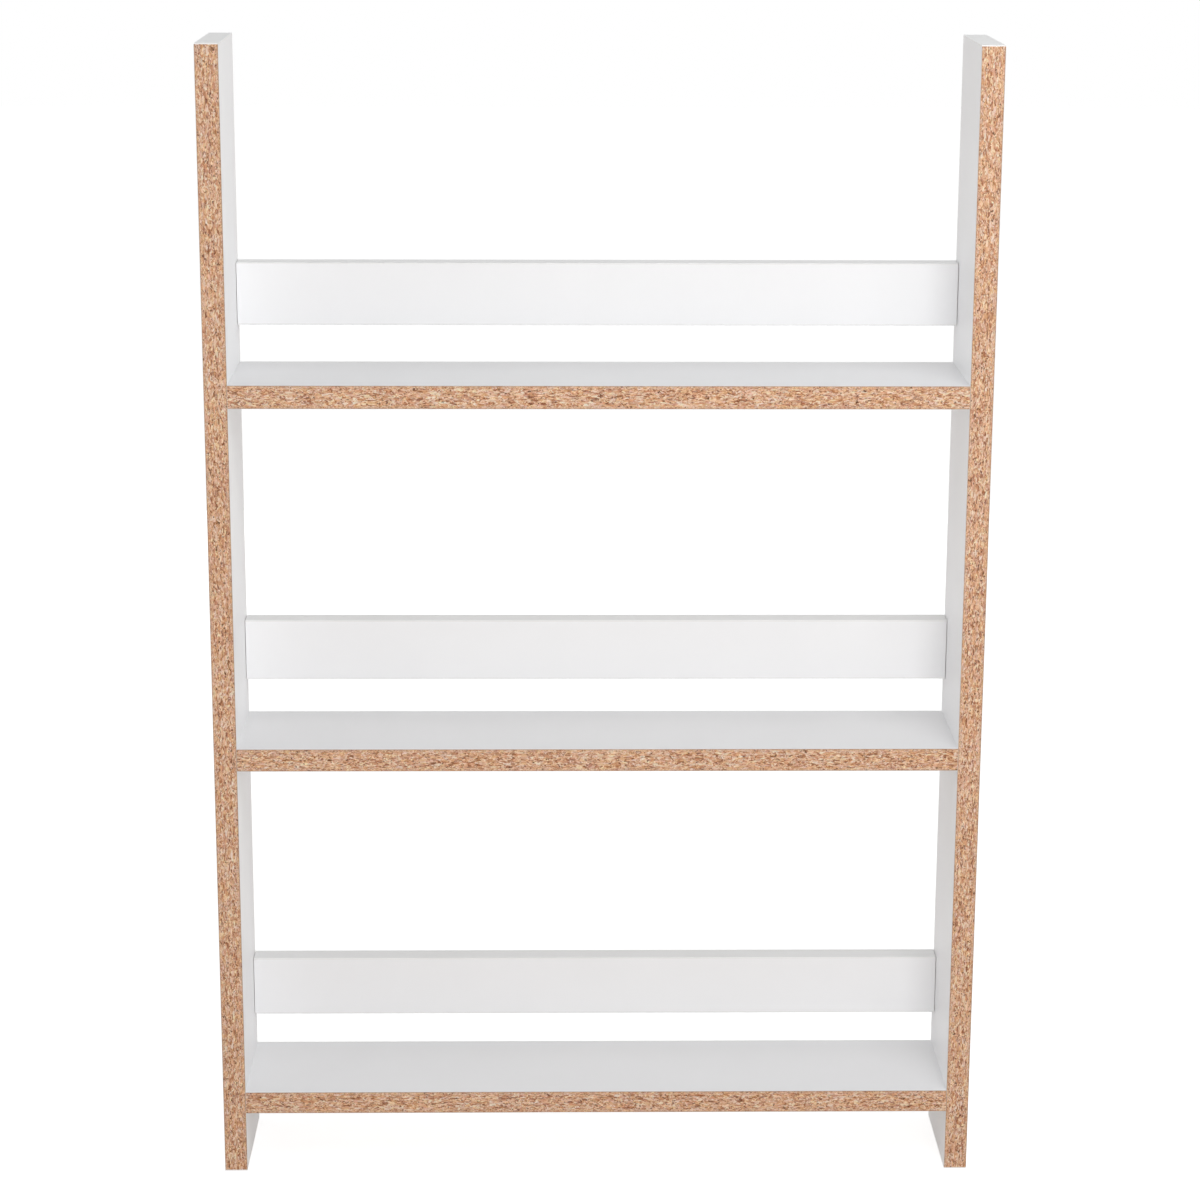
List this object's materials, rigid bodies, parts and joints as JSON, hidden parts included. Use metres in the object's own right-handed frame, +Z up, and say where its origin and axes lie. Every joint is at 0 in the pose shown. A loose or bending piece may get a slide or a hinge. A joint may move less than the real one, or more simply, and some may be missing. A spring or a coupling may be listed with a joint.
{
  "type": "wall shelf",
  "caption": "Open wall shelf of white-faced chipboard: tall sides, shelves flush at the front with raw board edges, and a rail across the back above each shelf.",
  "frame": {"origin": "middle of the box's underside, on the floor between the two sides", "axes": "+X to the right seen from the front, +Y from the front to the wall, +Z up"},
  "size_m": [0.6, 0.106, 0.9],
  "materials": {
    "chipboard": "raw sawn edge, matt",
    "white_melamine": "satin",
    "white_edge_band": "satin",
    "beech": "unfinished",
    "zinc": "die-cast, dull",
    "plated_steel": "bright zinc plate"
  },
  "bodies": {
    "root": {"bottom_rail_back_facing": "white_melamine", "bottom_rail_bottom_band": "white_edge_band", "bottom_rail_core": "chipboard", "bottom_rail_front_facing": "white_melamine", "bottom_rail_top_band": "white_edge_band", "bottom_shelf_back_band": "white_edge_band", "bottom_shelf_core": "chipboard", "bottom_shelf_lower_facing": "white_melamine", "bottom_shelf_upper_facing": "white_melamine", "hanger_screws": "plated_steel", "keyhole_hangers": "plated_steel", "left_side_back_band": "white_edge_band", "left_side_bottom_band": "white_edge_band", "left_side_core": "chipboard", "left_side_inner_facing": "white_melamine", "left_side_outer_facing": "white_melamine", "left_side_top_band": "white_edge_band", "middle_rail_back_facing": "white_melamine", "middle_rail_bottom_band": "white_edge_band", "middle_rail_core": "chipboard", "middle_rail_front_facing": "white_melamine", "middle_rail_top_band": "white_edge_band", "middle_shelf_back_band": "white_edge_band", "middle_shelf_core": "chipboard", "middle_shelf_lower_facing": "white_melamine", "middle_shelf_upper_facing": "white_melamine", "rail_dowels": "beech", "right_side_back_band": "white_edge_band", "right_side_bottom_band": "white_edge_band", "right_side_core": "chipboard", "right_side_inner_facing": "white_melamine", "right_side_outer_facing": "white_melamine", "right_side_top_band": "white_edge_band", "shelf_cam_bolts": "plated_steel", "shelf_cams": "zinc", "shelf_dowels": "beech", "top_rail_back_facing": "white_melamine", "top_rail_bottom_band": "white_edge_band", "top_rail_core": "chipboard", "top_rail_front_facing": "white_melamine", "top_rail_top_band": "white_edge_band", "top_shelf_back_band": "white_edge_band", "top_shelf_core": "chipboard", "top_shelf_lower_facing": "white_melamine", "top_shelf_upper_facing": "white_melamine"}
  },
  "joints": []
}
